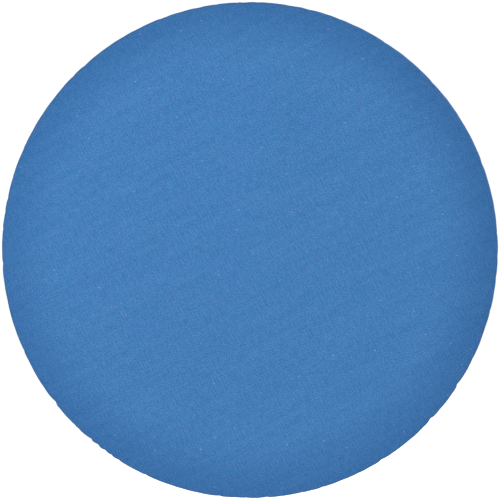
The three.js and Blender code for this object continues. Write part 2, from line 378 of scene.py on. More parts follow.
# ---------------------------------------------------------------- materials
DEEP_BLUE = (0.0245, 0.1446, 0.3765, 1)
PALE_BLUE = (0.0963, 0.2711, 0.5815, 1)
LINT_BLUE = (0.31, 0.53, 0.72, 1)
# Painted shade: the face cloth's colour is multiplied by this towards the rim, darker and a deeper blue,
# standing for the crown turning away from the light.
RIM_PAINTED_SHADE = (0.785, 0.862, 0.925, 1)
COOLER = (0.94, 1.012, 1.0, 1)
WARMER = (1.06, 0.988, 1.0, 1)
WHITE = (1, 1, 1, 1)
THREAD_TURN = 27  # degrees that the face cloth's threads are turned from level
RIB_PERIOD = 0.0071
WEAVE_PERIOD = 0.00085
LINT_SPACING = 0.036
LINT_RARITY = 0.84  # the share of places that stay clean


def lint(s):
    """Sparse bits of fluff, 1 where there is one."""
    fluff = s.turned_place(70, (1, 1.8, 1))
    cells = s.node("TexVoronoi", {"Vector": fluff, "Scale": 1 / LINT_SPACING}, voronoi_dimensions="2D")
    speck = s.ramp(cells.outputs["Distance"], 0.052, 0.012)
    chosen = s.node("SeparateColor", {0: cells.outputs["Color"]}).outputs[0]
    return s.product(speck, s.math("GREATER_THAN", chosen, LINT_RARITY))


def face_cloth_material():
    """Matt chroma blue with broken ribs one way and long streaks the other, and painted shade that darkens it
    towards the rim.
    """
    s = Shader("chroma_blue_cloth", roughness=0.92, Sheen_Weight=0.03, Sheen_Roughness=0.5,
               Specular_IOR_Level=0.15)
    place = s.place()
    threads = s.turned_place(THREAD_TURN)
    ribs = s.ribs(threads, RIB_PERIOD, "X", distortion=2.5, detail=2)
    broken = s.noise(s.turned_place(THREAD_TURN, (1, 4.5, 1)), 0.0046, detail=1)
    slubs = s.noise(s.turned_place(THREAD_TURN, (6, 1, 1)), 0.0034, detail=1)
    streaks = s.noise(s.turned_place(THREAD_TURN, (11, 1, 1)), 0.0125, detail=2, roughness=0.6)
    bands = s.noise(s.turned_place(THREAD_TURN, (5, 1, 1)), 0.06, detail=2)
    grain = s.noise(place, 0.0028, detail=1, roughness=0.6)
    weave = s.product(s.ribs(threads, WEAVE_PERIOD, "X"), s.ribs(threads, WEAVE_PERIOD, "Y"))
    shade = s.summed(
        (grain, 1.7), (broken, 0.55), (slubs, 0.36), (ribs, 0.07), (streaks, 0.34), (bands, 0.16),
        (weave, 0.10),
    )
    out = s.node("VectorMath", {0: place}, operation="LENGTH").outputs["Value"]
    # Painted shade: from 0.76 of the radius out, the colour darkens towards the rim, where the crown turns
    # away from the light.
    rim = s.ramp(out, 0.76 * RADIUS, RADIUS)
    hue = s.mixed(s.ramp(s.noise(place, 0.016, detail=2), 0.35, 0.65), COOLER, WARMER)
    hue_and_painted_shade = s.multiplied(s.mixed(rim, WHITE, RIM_PAINTED_SHADE), hue)
    base = s.multiplied(s.mixed(shade, DEEP_BLUE, PALE_BLUE), hue_and_painted_shade)
    s.colour(s.mixed(s.product(lint(s), 0.40), base, LINT_BLUE))
    relief = s.summed((weave, 0.3), (grain, 0.4), (broken, 0.8), (slubs, 0.4), (ribs, 0.2))
    s.bump(relief, 0.0007, 0.6)
    s.rough(s.math("MULTIPLY_ADD", grain, 0.08, 0.86))
    return s.material


def plain_weave(name, colour, thread, roughness, variation=0.10, sheen=0.05, bump=0.0002, specular=0.3):
    """Two sets of threads at right angles, with a little unevenness."""
    s = Shader(name, roughness=roughness, Sheen_Weight=sheen, Specular_IOR_Level=specular)
    place = s.place()
    warp = s.ribs(place, thread, "X", distortion=0.4)
    weft = s.ribs(place, thread, "Y", distortion=0.4)
    crossing = s.product(warp, weft)
    uneven = s.noise(place, thread * 22, detail=4)
    slubs = s.noise(s.turned_place(0, (16, 1, 1)), thread * 3, detail=2)
    factor = s.product(
        s.around_one(crossing, variation), s.around_one(uneven, variation),
        s.around_one(slubs, variation * 0.8),
    )
    s.colour(s.tinted(colour, factor))
    s.bump(crossing, bump, 0.8)
    s.rough(s.math("MULTIPLY_ADD", uneven, 0.12, roughness - 0.06))
    return s.material


def twill_webbing(name, colour, pitch, roughness):
    """Close diagonal ribs in two directions, as narrow woven webbing has."""
    s = Shader(name, roughness=roughness, Sheen_Weight=0.08, Specular_IOR_Level=0.35)
    left = s.ribs(s.turned_place(38), pitch, "X")
    right = s.ribs(s.turned_place(-38), pitch, "X")
    chevron = s.math("MAXIMUM", left, right)
    fuzz = s.noise(s.place(), pitch * 0.5, detail=3)
    s.colour(s.tinted(colour, s.product(s.around_one(chevron, 0.28), s.around_one(fuzz, 0.2))))
    s.bump(chevron, 0.0003, 0.9)
    s.rough(s.math("MULTIPLY_ADD", fuzz, 0.15, roughness - 0.07))
    return s.material


def elastic_material():
    """Long raised cords with fine cross threads between them."""
    s = Shader("ribbed_elastic", roughness=0.75, Sheen_Weight=0.08, Specular_IOR_Level=0.35)
    cords = s.ribs(s.place(), 0.0017, "X")
    threads = s.ribs(s.place(), 0.0008, "Y")
    relief = s.math("MULTIPLY_ADD", threads, 0.35, cords)
    s.colour(s.tinted((0.016, 0.016, 0.018), s.around_one(relief, 0.35)))
    s.bump(relief, 0.0003, 0.9)
    return s.material


def metal_material(name, colour, roughness, scratch, own_place=False):
    s = Shader(name, roughness=roughness, own_place=own_place, Metallic=1.0)
    brushed = s.noise(s.turned_place(0, (20, 1, 1)), scratch, detail=4, roughness=0.7)
    dull = s.noise(s.place(), scratch * 25, detail=3)
    s.colour(s.tinted(colour, s.around_one(dull, 0.12)))
    s.rough(s.math("MULTIPLY_ADD", brushed, 0.22, roughness - 0.08))
    s.bump(brushed, 0.00003, 0.5)
    return s.material


def wadding_material():
    """Loose white fibres."""
    s = Shader("bonded_wadding", roughness=0.95, Sheen_Weight=0.25)
    fibres = s.noise(s.place(), 0.004, detail=6, roughness=0.75)
    clumps = s.noise(s.place(), 0.03, detail=3)
    s.colour(s.tinted((0.80, 0.79, 0.75), s.product(s.around_one(fibres, 0.14), s.around_one(clumps, 0.06))))
    s.bump(fibres, 0.003, 0.9)
    return s.material


def moulded_material(name, colour, roughness):
    s = Shader(name, roughness=roughness, own_place=True, Specular_IOR_Level=0.4)
    skin = s.noise(s.place(), 0.0012, detail=4)
    s.colour(s.tinted(colour, s.around_one(skin, 0.25)))
    s.rough(s.math("MULTIPLY_ADD", skin, 0.15, roughness - 0.07))
    s.bump(skin, 0.0002, 0.6)
    return s.material


def thread_material(name, colour):
    """Twisted sewing thread."""
    s = Shader(name, roughness=0.6, Sheen_Weight=0.1)
    twist = s.ribs(s.turned_place(35), 0.0006, "X")
    s.colour(s.tinted(colour, s.around_one(twist, 0.25)))
    s.bump(twist, 0.0001, 0.8)
    return s.material


FACE_CLOTH = face_cloth_material()
BACK_CLOTH = plain_weave("dark_nylon_cloth", (0.034, 0.036, 0.042), 0.0011, 0.50, sheen=0.05, specular=0.5)
LINING = plain_weave("black_lining_cloth", (0.009, 0.009, 0.010), 0.0008, 0.85)
SLEEVE_CLOTH = plain_weave("sleeve_cloth", (0.012, 0.012, 0.014), 0.0009, 0.8)
TAPE = twill_webbing("hem_tape_twill", (0.015, 0.016, 0.018), 0.0016, 0.78)
WEBBING = twill_webbing("black_webbing", (0.017, 0.018, 0.020), 0.0022, 0.7)
PATCH = plain_weave("patch_cloth", (0.016, 0.017, 0.019), 0.0010, 0.75, bump=0.0003)
ELASTIC = elastic_material()
WADDING = wadding_material()
SPRING_STEEL = metal_material("blued_spring_steel", (0.27, 0.30, 0.34), 0.38, 0.0006)
PLATED_STEEL = metal_material("nickel_plate", (0.62, 0.63, 0.65), 0.28, 0.0005)
FITTING_STEEL = metal_material("fitting_steel", (0.50, 0.51, 0.53), 0.35, 0.0005, own_place=True)
SHRINK = moulded_material("shrunk_tube", (0.012, 0.012, 0.013), 0.55)
GREY_THREAD = thread_material("grey_thread", (0.075, 0.078, 0.085))
LABEL = plain_weave("white_label_cloth", (0.62, 0.62, 0.58), 0.0005, 0.8, variation=0.05)


def dress(obj, material):
    """Gives a piece its material."""
    obj.data.materials.clear()
    obj.data.materials.append(material)
    return obj


def across_fold(obj, *nodes):
    """Bakes a layer's placement into its mesh. It stands for the CAD halves that are named, and hides them.
    """
    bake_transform(obj)
    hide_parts(*nodes)
    return obj


# ---------------------------------------------------------------- face cloth
def crown_depth(radius):
    """The depth of the face: level in the middle, and falling back towards the rim."""
    return FRONT + CROWN_DROP * np.clip((radius - FACE_FLAT) / CROWN_SPAN, 0, None) ** CROWN_POWER


def face_profile():
    """From the middle of the face, over the rim and in along the hem behind, as (radius, depth)."""
    middle = [(r, FRONT) for r in np.linspace(0, FACE_FLAT, 14)]
    edge = RADIUS - SHOULDER
    crown = [(r, float(crown_depth(r))) for r in np.linspace(FACE_FLAT, edge, 24)[1:]]
    slope = CROWN_DROP * CROWN_POWER / CROWN_SPAN
    start, widest, back = crown[-1], (RADIUS, RIM_WIDEST), (RADIUS - RIM_TURN, HEM_BACK)
    out = bezier(
        start, (start[0] + 0.0045, start[1] + 0.0045 * slope), (RADIUS, RIM_WIDEST - 0.005), widest, 7
    )
    turn = bezier(widest, (RADIUS, RIM_WIDEST + 0.0035), (back[0] + 0.004, HEM_BACK), back, 6)
    hem = [(r, HEM_BACK) for r in np.linspace(back[0], RADIUS - HEM_WIDTH, 13)[1:]]
    return middle + crown + out.tolist() + turn.tolist() + hem


def pucker_folds(angle):
    """How deep the puckers are at each angle: sharp in the middle, steep on one side only."""
    rng = np.random.default_rng(SEED)
    deepest = np.zeros_like(angle)
    slight = [(rng.uniform(0, 360), rng.uniform(*SLIGHT_DEPTHS)) for _ in range(SLIGHT_PUCKERS)]
    for degrees, depth in PUCKERS + slight:
        away = RADIUS * turn_from(angle, math.radians(degrees))
        steep, slow = PUCKER_STEEP * rng.uniform(0.8, 1.3), PUCKER_SLOW * rng.uniform(0.8, 1.3)
        if rng.random() < 0.5:
            steep, slow = slow, steep
        width = np.where(away < 0, steep, slow)
        deepest = np.maximum(deepest, depth * np.exp(-np.abs(away / width) ** 1.25))
    return deepest


def rim_unevenness(angle):
    """How far the rim lies inside its true circle, puckers apart."""
    rng = np.random.default_rng(SEED)
    slow = waves(angle, (2, 3, 5), rng, 0.0008)
    quick = waves(angle, (17, 29, 43, 71, 97), rng, 0.0008)
    return np.maximum(0.0005 + slow + quick, 0)


def pleats(angle):
    """Gathers in the turned hem, from 0 to 1, uneven round the rim."""
    rng = np.random.default_rng(SEED + 1)
    wander = waves(angle, (3, 7, 11, 19), rng, 2.2)
    coarse = np.abs(np.sin(PLEATS[0] * angle + wander)) ** 0.7
    fine = np.abs(np.sin(PLEATS[1] * angle + 1.7 * wander + 0.8))
    strength = 0.65 + waves(angle, (5, 9, 14), rng, 0.9)
    return np.clip(strength, 0.2, 1) * (0.65 * coarse + 0.35 * fine)


def away_from_patches(angle):
    """0 where a patch is sewn to the hem, and 1 a little away from it."""
    clear = np.ones_like(angle)
    for turn, width in ((0, PATCH_HIGH.x - PATCH_LOW.x), (STRAP_TURN, STRAP_PATCH_WIDE)):
        away = RADIUS * np.abs(turn_from(angle, turn))
        clear *= smooth_step(away, width / 2 + 0.003, width / 2 + 0.018)
    return clear


def shape_face(radius, depth, angle, along):
    """Puckers run in from the rim, and the hem behind is gathered up to its tape."""
    rim_at = arc_lengths(np.array(face_profile()))[-1] - HEM_WIDTH
    rng = np.random.default_rng(SEED + 2)
    near_rim = smooth_step(along, rim_at - 0.055, rim_at - 0.006) ** 2
    at_rim = smooth_step(along, rim_at - 0.022, rim_at - 0.004)
    folds = pucker_folds(angle)
    inwards = rim_unevenness(angle) * near_rim + folds * at_rim
    inwards *= 1 - smooth_step(along, rim_at + 0.001, rim_at + 0.016)
    moved = radius - np.minimum(inwards, DEEPEST)
    gathered = smooth_step(along, rim_at + 0.003, rim_at + 0.015)
    gathered *= smooth_step(radius, TAPE_OUTER - 0.002, TAPE_OUTER + 0.003) * away_from_patches(angle)
    ease = waves(angle, (4, 6, 9), rng, 0.0007) * smooth_step(along, 0.5 * RADIUS, 0.8 * RADIUS)
    ease *= 1 - smooth_step(along, rim_at - 0.03, rim_at)
    crease = 0.5 * folds * smooth_step(along, rim_at - 0.030, rim_at - 0.012)
    crease *= 1 - smooth_step(along, rim_at - 0.006, rim_at)
    return moved, depth + ease + crease + PLEAT_HEIGHT * gathered * pleats(angle)


face_cloth = turned("face_cloth", face_profile(), ROUND, shape_face)
facing_out(face_cloth)
dress(face_cloth, FACE_CLOTH)
across_fold(face_cloth, "face_cloth_upper", "face_cloth_lower")
FACE_CUT = 2 * arc_lengths(np.array(face_profile()))[-1]


# ---------------------------------------------------------------- inner layers
def wadding_piece():
    """A lofty pad under the face cloth, flat behind. Its rings are close enough to bend smoothly."""
    edge = WADDING_HIGH.x
    back = WADDING_HIGH.y - 0.0010
    clear = 0.0022
    front = [(r, float(crown_depth(r)) + clear) for r in np.linspace(0, edge - 0.004, 42)]
    side = bezier(front[-1], (edge, front[-1][1] + 0.002), (edge, back - 0.003), (edge - 0.004, back), 6)
    rear = [(r, back) for r in np.linspace(edge - 0.004, 0, 42)[1:]]
    rng = np.random.default_rng(SEED + 3)

    def loft(radius, depth, angle, along):
        lumps = waves(angle, (5, 8, 13), rng, 0.0006) * smooth_step(radius, 0.05, 0.2)
        return radius, depth + np.where(depth < back - 0.002, np.abs(lumps), 0)

    return facing_out(turned("wadding", front + side.tolist() + rear, ROUND_INSIDE, loft))


def lining_piece():
    """A flat, thin disc behind the wadding."""
    low, high = LINING_LOW.y, LINING_HIGH.y
    profile = [(r, (low + high) / 2) for r in np.linspace(0, LINING_HIGH.x, 48)]
    obj = turned("blackout_lining", profile, ROUND_INSIDE)
    modifier(obj, "SOLIDIFY", thickness=(high - low) * 0.6, offset=0)
    return obj


wadding = dress(wadding_piece(), WADDING)
across_fold(wadding, "wadding_upper", "wadding_lower")

lining = dress(lining_piece(), LINING)
across_fold(lining, "blackout_lining_upper", "blackout_lining_lower")


# ---------------------------------------------------------------- back cloth
PULLS = 64
PULL_HIGH = 0.0030
PULL_LONG = (0.04, 0.17)
PULL_WIDE = (0.004, 0.008)
CREASES = 9
CREASE_HIGH = 0.0022
CREASE_WIDE = 0.008
SEWN_AT = (0, STRAP_DEGREES, 180, 360)  # degrees round the hem where the tab, strap and label are


def pulls(radius, angle):
    """Short folds that run in from the tape, each with its own length, width and height."""
    rng = np.random.default_rng(SEED + 4)
    total = np.zeros_like(radius)
    inwards = TAPE_INNER - radius
    risen = smooth_step(inwards, -0.001, 0.014)
    for k in range(PULLS):
        middle = 2 * math.pi * (k + rng.uniform(-0.4, 0.4)) / PULLS
        long, wide = rng.uniform(*PULL_LONG), rng.uniform(*PULL_WIDE)
        high, lean = rng.uniform(0.15, 1.0) * PULL_HIGH, rng.uniform(-0.5, 0.5)
        if min(abs(math.degrees(middle) - sewn) for sewn in SEWN_AT) < 6:
            continue
        share = np.clip(inwards / long, 0, 1)
        away = turn_from(angle, middle) * radius - lean * share * long
        total += high * np.exp(-((away / (wide * (1 + share))) ** 2)) * (1 - share) ** 1.2
    return total * risen


def shape_back(radius, depth, angle, along):
    """Pulls at the hem, and long soft creases left by folding the panel into its coils."""
    rng = np.random.default_rng(SEED + 5)
    slow = waves(angle, (2, 3, 5), rng, 0.0012) * smooth_step(radius, 0.0, 0.25)
    slow *= 1 - smooth_step(radius, 0.38, TAPE_INNER)
    x, z = radius * np.sin(angle), radius * np.cos(angle)
    creases = np.zeros_like(radius)
    for _ in range(CREASES):
        turn, offset, bow = rng.uniform(0, math.pi), rng.uniform(-0.40, 0.40), rng.uniform(-0.9, 0.9)
        across = x * math.cos(turn) + z * math.sin(turn) - offset
        down = z * math.cos(turn) - x * math.sin(turn)
        away = across + bow * down**2
        creases += rng.uniform(0.4, 1.0) * CREASE_HIGH * np.exp(-np.abs(away) / CREASE_WIDE)
    inside = 1 - smooth_step(radius, TAPE_INNER - 0.05, TAPE_INNER)
    return radius, depth + pulls(radius, angle) + slow + creases * inside


back_middle = (BACK_LOW.y + BACK_HIGH.y) / 2
back_profile = [(r, back_middle) for r in np.linspace(0, BACK_HIGH.x, 66)]
back_cloth = turned("back_cloth", back_profile, ROUND_BACK, shape_back)
dress(back_cloth, BACK_CLOTH)
across_fold(back_cloth, "back_cloth_upper", "back_cloth_lower")


# ---------------------------------------------------------------- hoop, in its sleeve
def sleeve_outline():
    """A strip folded round the band, with its two edges brought together at the inside."""
    wall, slit = 0.0006, 0.0004
    middle = (SLEEVE_LOW.y + SLEEVE_HIGH.y) / 2
    half_deep = (SLEEVE_HIGH.y - SLEEVE_LOW.y) / 2 - 0.0002
    inner, outer = SLEEVE_HIGH.x - 0.0112, min(SLEEVE_HIGH.x - 0.0003, RADIUS - DEEPEST - 0.0012)
    centre, half_wide = (inner + outer) / 2, (outer - inner) / 2
    turns = np.linspace(math.radians(8), math.radians(352), 28)

    def bulge(shrink):
        reach = 1 / (np.abs(np.cos(turns)) ** 4 + np.abs(np.sin(turns)) ** 4) ** 0.25
        return [
            (centre - (half_wide - shrink) * r * math.cos(t), middle + (half_deep - shrink) * r * math.sin(t))
            for t, r in zip(turns, reach)
        ]

    out = [(inner, middle + slit)] + bulge(0)[1:-1] + [(inner, middle - slit)]
    return out + [(inner + wall, middle - slit)] + bulge(wall)[1:-1][::-1] + [(inner + wall, middle + slit)]


SLEEVE_OUTLINE = sleeve_outline()
sleeve = facing_out(turned("hoop_sleeve", SLEEVE_OUTLINE, ROUND_INSIDE, closed=True))
dress(sleeve, SLEEVE_CLOTH)
across_fold(sleeve, "hoop_sleeve_upper", "hoop_sleeve_lower")

BAND_WIDE = BAND_HIGH.y - BAND_LOW.y
BAND_THICK = 0.0012
BAND_RADIUS = BAND_HIGH.x - BAND_THICK / 2
BAND_JOINT_FLAT = 0.022  # the band runs straight through the ferrule for this far on each side
BAND_JOINT_GAP = 0.0006


def band_path():
    """One turn from the joint at the bottom and back to it."""
    half_gap = math.asin(BAND_JOINT_GAP / 2 / BAND_RADIUS)
    points = []
    for turn in np.linspace(math.pi + half_gap, 3 * math.pi - half_gap, 361):
        x, z = BAND_RADIUS * math.sin(turn), BAND_RADIUS * math.cos(turn)
        if z < 0:
            straight = 1 - smooth_step(abs(x), BAND_JOINT_FLAT, 2 * BAND_JOINT_FLAT)
            z += (-BAND_RADIUS - z) * straight
        points.append((x, (BAND_LOW.y + BAND_HIGH.y) / 2, z))
    return points


band = swept("spring_band", rounded_strip(BAND_WIDE, BAND_THICK, 0.0004, 2), band_path(), (0, 1, 0))
dress(band, SPRING_STEEL)
across_fold(band, "spring_band_upper", "spring_band_lower_left", "spring_band_lower_right")

for node, material in {
    "hoop_ferrule": FITTING_STEEL,
    "ferrule_rivet_left": FITTING_STEEL,
    "ferrule_rivet_right": FITTING_STEEL,
    "ferrule_cover": SHRINK,
}.items():
    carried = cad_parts[node]
    carried.data.materials.clear()
    carried.data.materials.append(material)


# ---------------------------------------------------------------- hem tape
TAPE_ON_HEM = TAPE_HIGH.y - 0.0006
TAPE_ON_BACK = BACK_HIGH.y + 0.0014
HEM_EDGE = RADIUS - HEM_WIDTH
TAPE_ROWS = (TAPE_INNER + 0.0035, TAPE_OUTER - 0.0035)  # of stitches
TAPE_THICK = 0.0007


def tape_depth(radius):
    """The tape lies on the turned hem and steps down to the back cloth inside the hem's raw edge."""
    on_hem = smooth_step(radius, HEM_EDGE - 0.006, HEM_EDGE + 0.001)
    return TAPE_ON_BACK + (TAPE_ON_HEM - TAPE_ON_BACK) * on_hem


def shape_tape(radius, depth, angle, along):
    """Small ripples where the tape is eased round the curve, and dimples along the stitching."""
    rng = np.random.default_rng(SEED + 5)
    edge = waves(angle, (61, 83, 109), rng, 0.0005)
    ripple = 0.00022 * pleats(angle) + waves(angle, (47, 71, 97), rng, 0.00016)
    stitched = sum(np.exp(-(((radius - row) / 0.0016) ** 2)) for row in TAPE_ROWS)
    return radius + edge, tape_depth(radius) - ripple - 0.00035 * stitched


tape_profile = [(r, TAPE_ON_HEM) for r in np.linspace(TAPE_INNER, TAPE_OUTER, 17)]
tape = turned("hem_tape", tape_profile, ROUND, shape_tape)
modifier(tape, "SOLIDIFY", thickness=TAPE_THICK, offset=0)
dress(tape, TAPE)
across_fold(tape, "hem_tape_upper", "hem_tape_lower")


# ---------------------------------------------------------------- stitches
BACKWARDS = np.array([0.0, 1.0, 0.0])


def stitches(name, places, length, thread):
    """One raised stitch at each (centre, along, out) place, all in one mesh."""
    across_count, sides = 5, 6
    lift = thread * 0.5
    template = []
    for i in range(across_count):
        share = i / (across_count - 1)
        girth = thread / 2 * (0.45 + 0.55 * math.sin(math.pi * share))
        height = lift * math.sin(math.pi * share) - thread * 0.25
        for u, v in circle(girth, sides):
            template.append(((share - 0.5) * length, u, height + v))
    faces = grid_faces(across_count, sides).tolist()
    faces.append(list(range(sides))[::-1])
    faces.append([(across_count - 1) * sides + k for k in range(sides)])
    template = np.array(template)
    verts, all_faces, local = [], [], []
    for centre, along, out in places:
        side = np.cross(out, along)
        base = len(verts) * len(template)
        verts.append(np.asarray(centre) + template @ np.stack([along, side, out]))
        local.append(template)
        all_faces += [[base + i for i in face] for face in faces]
    obj = new_object(name, np.vstack(verts), all_faces, np.vstack(local))
    return dress(facing_out(obj), GREY_THREAD)


def round_row(radius, depth_at, pitch):
    """Places for stitches round the back of the panel."""
    count = round(2 * math.pi * radius / pitch)
    places = []
    for k in range(count):
        turn = 2 * math.pi * (k + 0.5) / count
        centre = np.array([radius * math.sin(turn), depth_at(turn), radius * math.cos(turn)])
        places.append((centre, np.array([math.cos(turn), 0, -math.sin(turn)]), BACKWARDS))
    return places


def line_row(start, end, pitch):
    """Places for stitches along a straight line on a surface that faces backwards."""
    start, end = np.array(start, float), np.array(end, float)
    long = np.linalg.norm(end - start)
    count = max(2, round(long / pitch))
    along = (end - start) / long
    return [(start + along * long * (k + 0.5) / count, along, BACKWARDS) for k in range(count)]


STITCH_PITCH = 0.0040
STITCH_LONG = 0.0031
THREAD = 0.0006
SHORT_PITCH = 0.0026
SHORT_STITCH = 0.0021
FINE_THREAD = 0.0005


def tape_surface(radius):
    """The depth of the tape's back at any turn, along a row of stitches."""
    def depth_at(turn):
        _, depth = shape_tape(np.array([radius]), None, np.array([turn]), None)
        return float(depth[0]) + TAPE_THICK / 2
    return depth_at


for row_name, row_radius in zip(("inner", "outer"), TAPE_ROWS):
    row_places = round_row(row_radius, tape_surface(row_radius), STITCH_PITCH)
    across_fold(stitches(f"tape_stitches_{row_name}", row_places, STITCH_LONG, THREAD))


# ---------------------------------------------------------------- hanging tab and ring
ON_PATCH = TAB_LOW.y
EYE_OUTER = 0.0037
EYE = Vector((0, TAB_HIGH.y - EYE_OUTER, TAB_LOW.z + EYE_OUTER))
TAB_PLY = 0.0012
PLY_GAP = 0.0001
TAB_WIDE = TAB_HIGH.x - TAB_LOW.x
TAB_FOLD = (TAB_HIGH.z + SEWN_LOW.z) / 2


def cloth_patch(name, width, height, centre, place, material, thick=0.0008, curl=0.0):
    """A small sewn-down cloth rectangle with rounded corners, facing backwards."""
    columns, rows = 25, 17
    verts, flat = [], []
    for j in range(rows):
        for i in range(columns):
            u, v = 2 * i / (columns - 1) - 1, 2 * j / (rows - 1) - 1
            corner = 1 - 0.035 * (u * u * v * v) ** 2
            x, z = u * corner * width / 2, v * corner * height / 2
            edge = max(abs(u), abs(v)) ** 14
            ripple = 0.00012 * math.sin(9 * u + 5 * v) * (1 - edge)
            lift = curl * max(0.0, abs(u * v) - 0.8)
            verts.append((x, ripple + lift - 0.0002 * edge, z))
            flat.append((x, z, 0))
    faces = grid_faces(rows, columns, closed_columns=False).tolist()
    obj = new_object(name, verts, faces, flat)
    modifier(obj, "SOLIDIFY", thickness=thick, offset=0)
    modifier(obj, "BEVEL", width=thick * 0.35, segments=2, limit_method="ANGLE")
    obj.matrix_world = place @ Matrix.Translation(centre)
    dress(obj, material)
    return obj


HERE = Matrix.Identity(4)
patch_middle = (PATCH_LOW + PATCH_HIGH) / 2
patch_size = PATCH_HIGH - PATCH_LOW
tab_patch = cloth_patch(
    "tab_backing", patch_size.x, patch_size.z, patch_middle, HERE, PATCH
)
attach(tab_patch, "upper_half")
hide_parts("tab_patch")


def tab_path():
    """Webbing from its sewn-down top, down, round the ring's bar and back up behind itself."""
    front = ON_PATCH + TAB_PLY / 2
    back = front + TAB_PLY + PLY_GAP
    turn_radius = EYE.y - front
    top = SEWN_HIGH.z - 0.0006
    points = [(0, front, z) for z in np.linspace(top, EYE.z, 16)]
    for turn in np.linspace(0, math.pi, 15)[1:]:
        points.append((0, EYE.y - turn_radius * math.cos(turn), EYE.z - turn_radius * math.sin(turn)))
    start = points[-1]
    rise = bezier(start, (0, start[1], EYE.z + 0.005), (0, back, EYE.z + 0.006), (0, back, EYE.z + 0.012), 8)
    points += [tuple(p) for p in rise]
    points += [(0, back, z) for z in np.linspace(EYE.z + 0.012, top - 0.001, 12)[1:]]
    return points


webbing = swept("tab_webbing", rounded_strip(TAB_WIDE, TAB_PLY, 0.0005, 3), tab_path(), (1, 0, 0))
dress(webbing, WEBBING)
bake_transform(webbing)
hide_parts("hanging_tab", "tab_sewn_end")

TAB_BACK = ON_PATCH + 2 * TAB_PLY + PLY_GAP


def box_stitch(left, right, low, high, depth):
    """Places for a sewn rectangle with a cross in it."""
    corners = [(left, depth, low), (right, depth, low), (right, depth, high), (left, depth, high)]
    sides = list(zip(corners, corners[1:] + corners[:1]))
    cross = [(corners[0], corners[2]), (corners[1], corners[3])]
    return [place for start, end in sides + cross for place in line_row(start, end, SHORT_PITCH)]


half_tab = TAB_WIDE / 2 - 0.003
sewn_stitches = stitches(
    "tab_sewn_stitches",
    box_stitch(-half_tab, half_tab, SEWN_LOW.z + 0.0018, SEWN_HIGH.z - 0.0025, TAB_BACK),
    SHORT_STITCH, FINE_THREAD,
)
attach(sewn_stitches, "upper_half")
loop_stitches = stitches(
    "tab_loop_stitches",
    box_stitch(-half_tab, half_tab, EYE.z + 0.0130, TAB_FOLD - 0.0050, TAB_BACK),
    SHORT_STITCH, FINE_THREAD,
)
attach(loop_stitches, "tab")

RING_WIRE = (RING_HIGH.y - RING_LOW.y) / 2
RING_HALF = RING_HIGH.x - RING_WIRE


def ring_path():
    """The D: a straight bar with rounded corners, and a half-round bow below it."""
    corner, bow_top = 0.0022, RING_LOW.z + RING_WIRE + RING_HALF
    inside = RING_HALF - corner

    def arc(x, z, radius, turns):
        return [(x + radius * math.cos(t), EYE.y, z + radius * math.sin(t)) for t in turns]

    bar = [(x, EYE.y, EYE.z) for x in np.linspace(-inside, inside, 16)]
    right = arc(inside, EYE.z - corner, corner, np.linspace(math.pi / 2, 0, 7)[1:])
    bow = arc(0, bow_top, RING_HALF, -np.linspace(0, math.pi, 49))
    left = arc(-inside, EYE.z - corner, corner, np.linspace(math.pi, math.pi / 2, 7)[:-1])
    return bar + right + bow + left


ring = swept("hanging_ring", circle(RING_WIRE - 0.0001, 20), ring_path(), (0, 1, 0), closed=True)
dress(ring, PLATED_STEEL)
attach(ring, "ring")
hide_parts("d_ring")


# ---------------------------------------------------------------- retaining strap
# Heights here are along the strap's own line, before it is turned to its place.
STRAP_PLACE = Matrix.Rotation(STRAP_TURN, 4, "Y")
STRAP_WIDE = 0.020
STRAP_THICK = 0.0015
STRAP_TOP = 0.5262
STRAP_FOLD = 0.515
STRAP_END = 0.335
TIP_CURL = 0.013  # length of the free tip that curls away
STUD_AT = 0.455
SOCKET_AT = 0.347
STRAP_BACK = ON_PATCH + STRAP_THICK

strap_patch = cloth_patch(
    "strap_backing", STRAP_PATCH_WIDE, patch_size.z, patch_middle, STRAP_PLACE, PATCH
)
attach(strap_patch, "upper_half")
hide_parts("strap_patch")


def strap_path():
    """Straight down from the sewn end, with the free tip curling away from the panel."""
    points = []
    for z in np.linspace(STRAP_TOP, STRAP_END, 64):
        curl = max(0.0, (STRAP_END + TIP_CURL - z) / TIP_CURL)
        points.append((0, ON_PATCH + STRAP_THICK / 2 + 0.0022 * curl**2, z))
    return points


strap_section = rounded_strip(STRAP_WIDE, STRAP_THICK - 0.0002, 0.0006, 3)
strap = swept("strap_elastic", strap_section, strap_path(), (1, 0, 0))
strap.matrix_world = STRAP_PLACE
dress(strap, ELASTIC)


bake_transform(strap)
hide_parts("retaining_strap", "strap_sewn_end")

half_strap = STRAP_WIDE / 2 - 0.0025
strap_stitches = stitches(
    "strap_stitches",
    box_stitch(-half_strap, half_strap, STRAP_FOLD + 0.0028, STRAP_TOP - 0.002, STRAP_BACK - 0.0001),
    SHORT_STITCH, FINE_THREAD,
)
strap_stitches.matrix_world = STRAP_PLACE
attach(strap_stitches, "upper_half")


def fitting(name, outline, height, node):
    """A turned metal fitting on the strap. Outline points are (radius, depth), front to back."""
    obj = facing_out(turned(name, outline, 48))
    obj.matrix_world = STRAP_PLACE @ Matrix.Translation((0, 0, height))
    dress(obj, PLATED_STEEL)
    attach(obj, "strap")
    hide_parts(node)
    return obj


def rolled_edge(radius, low, high, steps=8):
    """A half-round edge between two depths."""
    middle, half = (low + high) / 2, (high - low) / 2
    turns = np.linspace(-math.pi / 2, math.pi / 2, steps)
    return [(radius - half + half * math.cos(t), middle + half * math.sin(t)) for t in turns]


STUD_RADIUS = 0.006
FLANGE = 0.0003  # the fittings stand this far off the strap's back
cap_front, cap_back = ON_PATCH - 0.0014, ON_PATCH - 0.0003
post = [(0.0018, cap_back), (0.0018, STRAP_BACK + FLANGE)]
cap = [(0, cap_front + 0.0001), (0.003, cap_front)] + rolled_edge(STUD_RADIUS, cap_front, cap_back)


